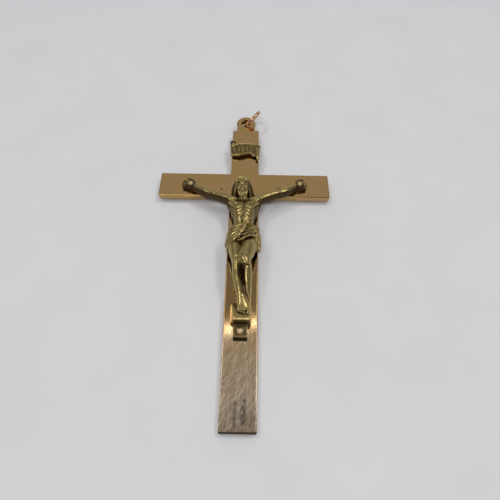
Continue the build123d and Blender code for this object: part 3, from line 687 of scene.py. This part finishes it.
scroll_forms += [
    tube([(-3.25, 12.2, 1.9, 0.5, 0.4), (-3.25, 13.1, 2.05, 0.72, 0.52), (-3.23, 13.75, 2.2, 0.86, 0.6)],
         rings=40, sides=40, dome=0.6),
    tube([(3.34, 7.5, 1.9, 0.2, 0.24), (3.26, 8.1, 2.05, 0.42, 0.46), (3.2, 9.0, 2.15, 0.55, 0.56),
          (3.18, 10.4, 2.2, 0.62, 0.58), (3.16, 11.4, 2.25, 0.64, 0.56)], rings=60, sides=40, dome=0.8),
    ball((3.11, 11.95, 2.3), (0.82, 0.52, 0.6)),
]
# The rolls' upper ends, each a hollow in a knob: its middle and its half sizes
WINDS = [(-3.23, 13.75, 0.74, 0.42), (3.11, 11.95, 0.7, 0.4)]
scroll_strokes = [([(cx - 0.4 * rx, cy), (cx + 0.4 * rx, cy)], 0.24, -0.24) for cx, cy, rx, ry in WINDS]


def scroll_shade(points, facing):
    """The sunk field is darker; painted shade on the band's underside, the rolls' upper ends and their
    hollows.
    """
    x, y, z = points.T
    depth = across(x, 3) - z
    field = (y > across(x, 1) + 0.4) & (y < across(x, 2) - 0.4) & (x > -3.6) & (x < 2.75) & (depth < 0.6)
    # The sunk field is darker
    dark = np.where(field, ramp(depth, 0.06, 0.16) * 0.5, 0)
    # Painted shade on the band's underside
    dark = dark + 1.2 * np.clip(-0.5 - facing[:, 1], 0, 1) * (depth > 0.35)
    # Painted shade on the rolls' upper ends and the left knob
    dark = dark + 0.6 * (np.abs(x) > 2.5) * ramp(y - np.where(x < 0, 12.95, 11.45), 0, 0.3)
    dark = dark + 0.45 * (x < -2.7) * ramp(y, 12.2, 12.5)
    # Painted shade in the rolls' hollow ends
    for cx, cy, rx, ry in WINDS:
        far = ((x - cx) / rx) ** 2 + ((y - cy) / ry) ** 2
        dark = np.maximum(dark, 0.9 * np.clip(1.1 - far, 0, 1) * (z > 2.0))
    return dark


scroll = skin("titulus_scroll", scroll_forms, voxel=0.05, passes=12, carve=carved(scroll_strokes),
              settle=rest, after=1, stain=scroll_shade)

# The foot bracket: a block that narrows upwards to a sloping top, and the tongue below it


def slope(y):
    """The bracket's top: it rises towards the front and rolls over into a broad round lip."""
    rise = BRACKET_LOW + BRACKET_RISE * (BRACKET_REAR - y)
    past = np.clip(-34.6 - y, 0, None)
    return rise - 0.5 * past**1.9


def bracket_shade(points, facing):
    """Painted shade on the bracket's front wall, tongue and tongue's end, a dimmed lip, and a slightly
    darker top.
    """
    x, y, z = points.T
    # Painted shade on the front wall and the tongue
    wall = ramp(y, -35.75, -36.0)
    # Black painted shade on the tongue's end face
    end = np.clip(-0.2 - facing[:, 1], 0, 1) * (y < -38.3)
    # Painted shade that dims the lip's highlight
    lip = np.exp(-(((y + 35.3) / 0.4) ** 2)) * (z > 3.0)
    # The top, above 2.9 mm, is a little darker
    return 0.65 * wall + 0.15 * (z > 2.9) + 2.0 * end + 0.25 * lip


bracket_forms = [
    block((-2.2, -36.17), (2.2, BRACKET_REAR), slope, draft=0.16, lean=0.09),
    block((-1.45, -38.92), (1.45, -36.0), lambda y: 2.6 + 0 * y),
]
bracket = skin("footrest_bracket", bracket_forms, voxel=0.065, passes=10, settle=rest, stain=bracket_shade)

# Finishes


def shader(name):
    """A new material, its node tree and its surface shader."""
    material = bpy.data.materials.new(name)
    material.use_nodes = True
    return material, material.node_tree, material.node_tree.nodes["Principled BSDF"]


def add(tree, kind, *sources, **values):
    """A shader node: sources feed its inputs in order, and values set its settings or its named inputs."""
    made = tree.nodes.new("ShaderNode" + kind)
    for key, value in values.items():
        if hasattr(made, key):
            setattr(made, key, value)
        else:
            made.inputs[key.replace("_", " ")].default_value = value
    for socket, source in zip(made.inputs, sources):
        if source is not None:
            tree.links.new(source, socket)
    return made.outputs[0]


def noise(tree, place, scale, detail=3.0, rough=0.55):
    """Cloudy noise at that many features to the metre."""
    return add(tree, "TexNoise", place, Scale=scale, Detail=detail, Roughness=rough)


def span(tree, value, low, high, start=0.0, end=1.0):
    """Value taken from low..high to start..end, held at both ends."""
    made = add(tree, "MapRange", value)
    inputs = made.node.inputs
    inputs[1].default_value, inputs[2].default_value = low, high
    inputs[3].default_value, inputs[4].default_value = start, end
    return made


def mix(tree, share, first, second, kind="MIX"):
    """Colour between first and second; each is a socket or a plain colour."""
    made = tree.nodes.new("ShaderNodeMixRGB")
    made.blend_type = kind
    for socket, source in zip(made.inputs, (share, first, second)):
        if isinstance(source, (tuple, float)):
            socket.default_value = source if isinstance(source, float) else (*source, 1.0)
        else:
            tree.links.new(source, socket)
    return made.outputs[0]


def sums(tree, kind, first, second):
    """One number out of two."""
    made = tree.nodes.new("ShaderNodeMath")
    made.operation = kind
    for socket, source in zip(made.inputs, (first, second)):
        if isinstance(source, float):
            socket.default_value = source
        else:
            tree.links.new(source, socket)
    return made.outputs[0]


def product(tree, first, *others):
    """All the numbers multiplied together."""
    for other in others:
        first = sums(tree, "MULTIPLY", first, other)
    return first


def streaks(tree, place, size, turn=0.0, low=0.6, high=0.7):
    """Fine scratches: noise drawn out along one direction and cut to its crests."""
    drawn = tuple(1 / v for v in size)
    laid = add(tree, "Mapping", place, vector_type="TEXTURE", Rotation=(0.0, 0.0, turn), Scale=drawn)
    return span(tree, noise(tree, laid, 1.0, 2.0, 0.5), low, high)


def gold(name, tint, second, dark, rough, wear=0.5, patina_and_shade=0.0, speckle=0.3, haze=0.08, grain=0.18,
         extra=None):
    """Worn gold: two tints in clouds, scratches in two directions, fine grain, patina and painted shade in
    recesses, wear and painted highlight on crests.
    """
    material, tree, surface = shader(name)
    place = tree.nodes.new("ShaderNodeTexCoord").outputs["Object"]
    cloud = span(tree, noise(tree, place, 260.0, 4.0), 0.35, 0.65)
    colour = mix(tree, cloud, tint, second)
    fine = noise(tree, place, 2600.0, 4.0)
    colour = mix(tree, span(tree, fine, 0.45, 0.7, 0.0, speckle), colour, dark)
    scratch = sums(tree, "MAXIMUM", streaks(tree, place, (5200.0, 260.0, 900.0)),
                   streaks(tree, place, (4200.0, 300.0, 900.0), 0.6, 0.62, 0.72))
    bright = tuple(min(1.0, 1.5 * v) for v in tint)
    colour = mix(tree, product(tree, scratch, 0.25 * wear), colour, bright)
    roughness = span(tree, fine, 0.3, 0.7, rough - haze, rough + haze)
    roughness = sums(tree, "ADD", roughness, product(tree, scratch, 0.1 * wear))
    if patina_and_shade:
        recess_and_shade = tree.nodes.new("ShaderNodeAttribute")
        recess_and_shade.attribute_name = "recess_and_shade"
        patchy = span(tree, noise(tree, place, 900.0), 0.3, 0.7, -0.12, 0.12)
        uneven = sums(tree, "ADD", recess_and_shade.outputs["Fac"], patchy)
        # Patina in hollows and the painted shade carried by recess_and_shade darken the colour
        hollow_and_shade = product(tree, span(tree, uneven, 0.05, 0.7), patina_and_shade)
        colour = mix(tree, hollow_and_shade, colour, dark)
        roughness = sums(tree, "ADD", roughness, product(tree, hollow_and_shade, 0.25))
        # Crests lighten: rubbed wear, and painted highlight where a stain went negative
        crest_wear_and_highlight = span(tree, uneven, -0.15, -0.7, 0.0, 0.5)
        colour = mix(tree, crest_wear_and_highlight, colour, tuple(min(1.0, 1.35 * v) for v in tint))
    if extra:
        colour, roughness = extra(tree, place, colour, roughness)
    tree.links.new(colour, surface.inputs["Base Color"])
    tree.links.new(roughness, surface.inputs["Roughness"])
    surface.inputs["Metallic"].default_value = 1.0
    height = sums(tree, "SUBTRACT", product(tree, fine, 0.5), product(tree, scratch, 0.5 * wear))
    bump = add(tree, "Bump", Strength=grain, Distance=0.00004)
    tree.links.new(height, bump.node.inputs["Height"])
    tree.links.new(bump, surface.inputs["Normal"])
    return material


def plate_marks(tree, place, colour, roughness):
    """The plate's marks: a scratched pale lower end, stains, painted shade below the tongue and along the
    foot end, a pit and a smudge. In metres.
    """
    parts = tree.nodes.new("ShaderNodeSeparateXYZ")
    tree.links.new(place, parts.inputs[0])
    across, along = parts.outputs[0], parts.outputs[1]

    def patch(left, right, low, high, soft):
        """One inside a rectangle, fading out over its soft edge."""
        return product(tree, span(tree, across, left - soft, left + soft),
                       span(tree, across, right + soft, right - soft),
                       span(tree, along, low - soft, low + soft),
                       span(tree, along, high + soft, high - soft))

    # The lower end is paler towards its foot, cloudy in two sizes, and scratched in three directions
    low = span(tree, along, -0.034, -0.052)
    colour = mix(tree, product(tree, low, 0.7), colour, (0.62, 0.50, 0.39))
    for size, share in ((1300.0, 0.5), (4200.0, 0.4)):
        cloudy = span(tree, noise(tree, place, size, 3.0), 0.42, 0.6, 0.0, share)
        colour = mix(tree, product(tree, low, cloudy), colour, (0.34, 0.25, 0.17))
    for turn, start in ((-0.1, 0.55), (-0.4, 0.56), (-0.8, 0.57)):
        scratch = streaks(tree, place, (4200.0, 320.0, 320.0), turn, start, start + 0.08)
        colour = mix(tree, product(tree, scratch, low, 0.6), colour, (0.9, 0.74, 0.55))
    # Broken grey stains: left and right edge, lower and upper end, depth
    worn = streaks(tree, place, (4400.0, 1100.0, 1100.0), -0.05, 0.36, 0.52)
    stains = ((-0.0009, -0.0003, -0.0551, -0.0506, 0.85), (0.0004, 0.0014, -0.0545, -0.0501, 0.85),
              (0.0023, 0.0033, -0.0549, -0.0530, 0.5))
    for left, right, bottom, top, depth in stains:
        stain = product(tree, patch(left, right, bottom, top, 0.0003), worn, depth)
        colour = mix(tree, stain, colour, (0.10, 0.09, 0.085))
    # Painted shade below the tongue's end, and painted shade along the foot end's edge
    below = product(tree, patch(-0.00145, 0.00145, -0.0394, -0.0388, 0.0001), 0.92)
    colour = mix(tree, below, colour, (0.03, 0.022, 0.015))
    end = span(tree, along, -0.05555, -0.05575)
    colour = mix(tree, product(tree, end, 0.95), colour, (0.05, 0.035, 0.022))
    roughness = sums(tree, "ADD", roughness, product(tree, end, 0.5))
    # A pit and a smudge on the front: place, inner and outer radius, depth
    front = PLATE * MM
    spots = (((-0.00562, -0.00137, front), 0.00014, 0.0004, 0.9),
             ((0.0086, -0.0012, front), 0.0002, 0.0012, 0.35))
    for spot, inner, outer, depth in spots:
        gap = add(tree, "VectorMath", place, operation="DISTANCE")
        gap.node.inputs[1].default_value = spot
        dot = span(tree, gap.node.outputs["Value"], inner, outer, depth, 0.0)
        colour = mix(tree, dot, colour, (0.07, 0.05, 0.03))
    return colour, roughness


def rivet_marks(tree, place, colour, roughness):
    """The rivet in the foot bracket is pinker than those in the hands."""
    parts = tree.nodes.new("ShaderNodeSeparateXYZ")
    tree.links.new(place, parts.inputs[0])
    below = span(tree, parts.outputs[1], -0.02, -0.03, 0.0, 0.8)
    return mix(tree, below, colour, (0.8, 0.56, 0.33)), roughness


# A finish is its two tints, its darkest colour, and how rough and scratched it is and how much patina and
# painted shade darken it
finishes = {
    "plate_gold": gold("plate_gold", (0.54, 0.335, 0.155), (0.50, 0.33, 0.125), (0.30, 0.18, 0.07),
                       rough=0.065, wear=0.6, speckle=0.22, haze=0.02, grain=0.08, extra=plate_marks),
    "figure_gold": gold("figure_gold", (0.448, 0.342, 0.134), (0.38, 0.292, 0.112), (0.065, 0.04, 0.02),
                        rough=0.28, wear=0.3, patina_and_shade=0.92, haze=0.05, grain=0.05),
    "rivet_gold": gold("rivet_gold", (0.56, 0.42, 0.2), (0.5, 0.37, 0.17), (0.2, 0.12, 0.06),
                       rough=0.45, wear=0.6, extra=rivet_marks),
    "ring_gold": gold("ring_gold", (0.70, 0.41, 0.23), (0.58, 0.34, 0.19), (0.22, 0.11, 0.06),
                      rough=0.24, wear=0.4),
}
wearing = {
    "plate_gold": ["cross_plate"],
    "figure_gold": ["corpus", "footrest", "titulus"],
    "rivet_gold": ["left_hand_rivet", "right_hand_rivet", "foot_rivet"],
    "ring_gold": ["jump_ring"],
}
for finish, names in wearing.items():
    for name in names:
        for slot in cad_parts[name].material_slots:
            slot.material = finishes[finish]
# Each new piece, and the CAD nodes that it is shown instead of
shown = [(body, ["corpus"]), (hands, []), (feet, []), (head, []), (cloth, []), (scroll, ["titulus"]),
         (bracket, ["footrest"])]
for piece, nodes in shown:
    piece.data.materials.clear()
    piece.data.materials.append(finishes["figure_gold"])
    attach(piece, "cross")
    if nodes:
        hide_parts(*nodes)

# Stage: a pale floor under the plate's foot end and the ring's lowest point, a dim room and soft lamps
TILT = 0.0159  # the floor's fall for each millimetre along Y
FOOT_END, FLOOR_GAP = -56.0, 0.01  # where the plate touches it, and the air left there
reach = 1500.0  # half the floor's width
corners = [(-reach, -reach), (reach, -reach), (reach, reach), (-reach, reach)]
ground = bpy.data.meshes.new("floor")
spots = [(a * MM, b * MM, (-TILT * (b - FOOT_END) - FLOOR_GAP) * MM) for a, b in corners]
ground.from_pydata(spots, [], [(0, 1, 2, 3)])
floor = bpy.data.objects.new("floor", ground)
scene.collection.objects.link(floor)
paper, tree, surface = shader("floor_paper")
place = tree.nodes.new("ShaderNodeTexCoord").outputs["Object"]
mottle = span(tree, noise(tree, place, 60.0, 4.0), 0.35, 0.65)
tree.links.new(mix(tree, mottle, (0.91, 0.915, 0.93), (0.88, 0.885, 0.9)), surface.inputs["Base Color"])
surface.inputs["Roughness"].default_value = 0.8
ground.materials.append(paper)

world = bpy.data.worlds.new("room")
scene.world = world
world.use_nodes = True
tree = world.node_tree
back = tree.nodes["Background"]
ray = add(tree, "SeparateXYZ", tree.nodes.new("ShaderNodeTexCoord").outputs["Generated"])
# The room's brightness along Y, from behind the camera to beyond the top end: from, to, brightness
room = (0.1, 0.095, 0.09)
for start, end, bright in ((-0.25, 0.07, 0.34), (0.07, 0.14, 0.5), (0.30, 0.345, 0.27), (0.49, 0.56, 0.5)):
    room = mix(tree, span(tree, ray.node.outputs["Y"], start, end), room, (bright, bright, bright))
aside = sums(tree, "ABSOLUTE", ray.node.outputs["X"], 0.0)
room = mix(tree, span(tree, aside, 0.22, 0.4), room, (0.2, 0.2, 0.21))
room = mix(tree, span(tree, ray.node.outputs["Z"], 0.15, 0.35), (0.7, 0.7, 0.7), room)
tree.links.new(room, back.inputs["Color"])
back.inputs["Strength"].default_value = 1.0


def lamp(name, place, aim, wide, tall, watts, turn=0.0):
    """A flat soft lamp that looks at a point."""
    light = bpy.data.lights.new(name, "AREA")
    light.shape, light.size, light.size_y, light.energy = "RECTANGLE", wide, tall, watts
    holder = bpy.data.objects.new(name, light)
    look = (Vector(aim) - Vector(place)).to_track_quat("-Z", "Y").to_matrix().to_4x4()
    holder.matrix_world = Matrix.Translation(place) @ look @ Matrix.Rotation(turn, 4, "Z")
    scene.collection.objects.link(holder)


# Each lamp's place, aim, width, length, watts and turn: a thin strip overhead, a broad one on either side,
# one more on the right for the plate's lower end, and one behind the camera
lamp("ceiling_strip", (-0.014, 0.151, 0.573), (0.0, -0.0375, 0.0), 0.3, 0.0135, 0.04, 0.175)
lamp("left_strip", (-0.3, 0.16, 0.6), (0.0, -0.015, 0.0), 0.3, 0.08, 0.55)
lamp("right_strip", (0.3, 0.16, 0.6), (0.0, -0.015, 0.0), 0.3, 0.1, 0.6)
lamp("side_lamp", (0.3, 0.026, 0.6), (0.0, -0.05, 0.0), 0.14, 0.075, 0.25)
lamp("rear_lamp", (-0.06, -0.31, 0.545), (0.0, -0.0275, 0.0), 0.28, 0.13, 0.8)

# Camera at the photograph's viewing angle
lens = bpy.data.cameras.new("camera")
lens.lens, lens.sensor_width = 27.64, 36.0
lens.clip_start, lens.clip_end = 0.001, 10.0
camera = bpy.data.objects.new("camera", lens)
turned = Matrix(((0.99984, -0.01806, -0.0004), (0.01555, 0.87132, -0.49048), (0.0092, 0.49039, 0.87145)))
camera.matrix_world = Matrix.Translation((0.001655, -0.060958, 0.076865)) @ turned.to_4x4()
scene.collection.objects.link(camera)
scene.camera = camera
scene.view_settings.view_transform = "Standard"
